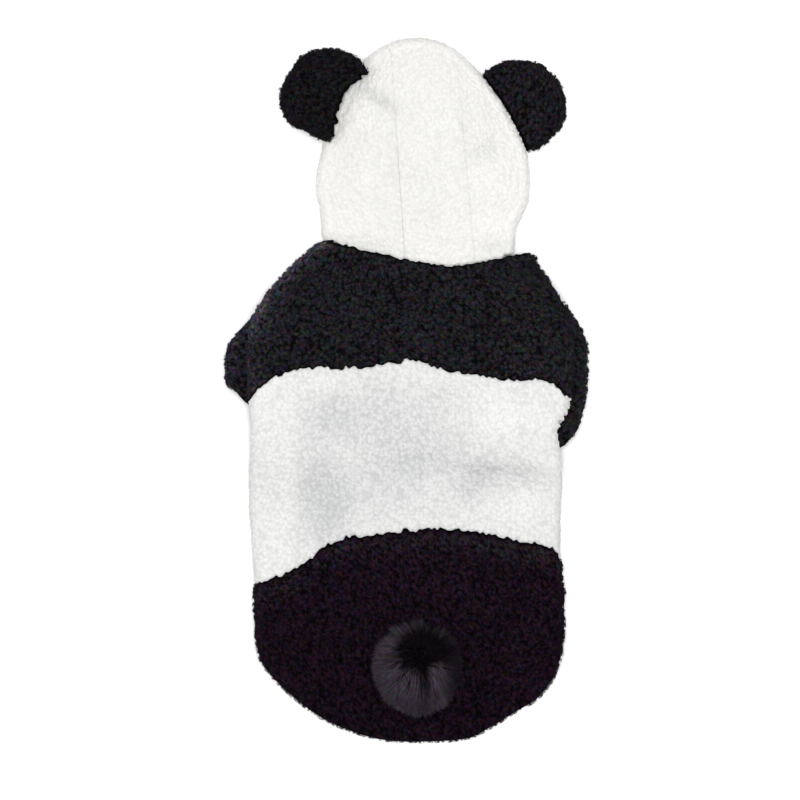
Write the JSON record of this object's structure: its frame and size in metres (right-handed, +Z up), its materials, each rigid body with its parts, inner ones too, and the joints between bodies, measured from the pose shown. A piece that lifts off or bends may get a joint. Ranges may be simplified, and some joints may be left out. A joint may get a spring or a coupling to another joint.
{
  "type": "pet costume",
  "caption": "Panda-coloured pull-over coat for a small dog, with a hood that has two round ears, short sleeves and a tail pompom, laid flat with its back up",
  "frame": {"origin": "The middle of the laid-out coat's outline, on the surface that it lies on.", "axes": "+Y runs from the tail to the crown of the hood, +Z is up from the surface, and +X is on the right of someone who looks down on the back with the hood away from them."},
  "size_m": [0.2271, 0.4409, 0.0591],
  "materials": {
    "white_fleece": "matt curly pile",
    "black_fleece": "matt curly pile",
    "dark_fur": "soft straight fur"
  },
  "bodies": {
    "root": {"hood_centre": "white_fleece", "hood_left": "white_fleece", "hood_right": "white_fleece", "ear_left": "black_fleece", "ear_right": "black_fleece", "yoke": "black_fleece", "back_band": "white_fleece", "rear_back": "black_fleece", "chest": "black_fleece", "belly": "white_fleece", "sleeve_left": "black_fleece", "sleeve_right": "black_fleece", "tail_pompom": "dark_fur"}
  },
  "joints": []
}
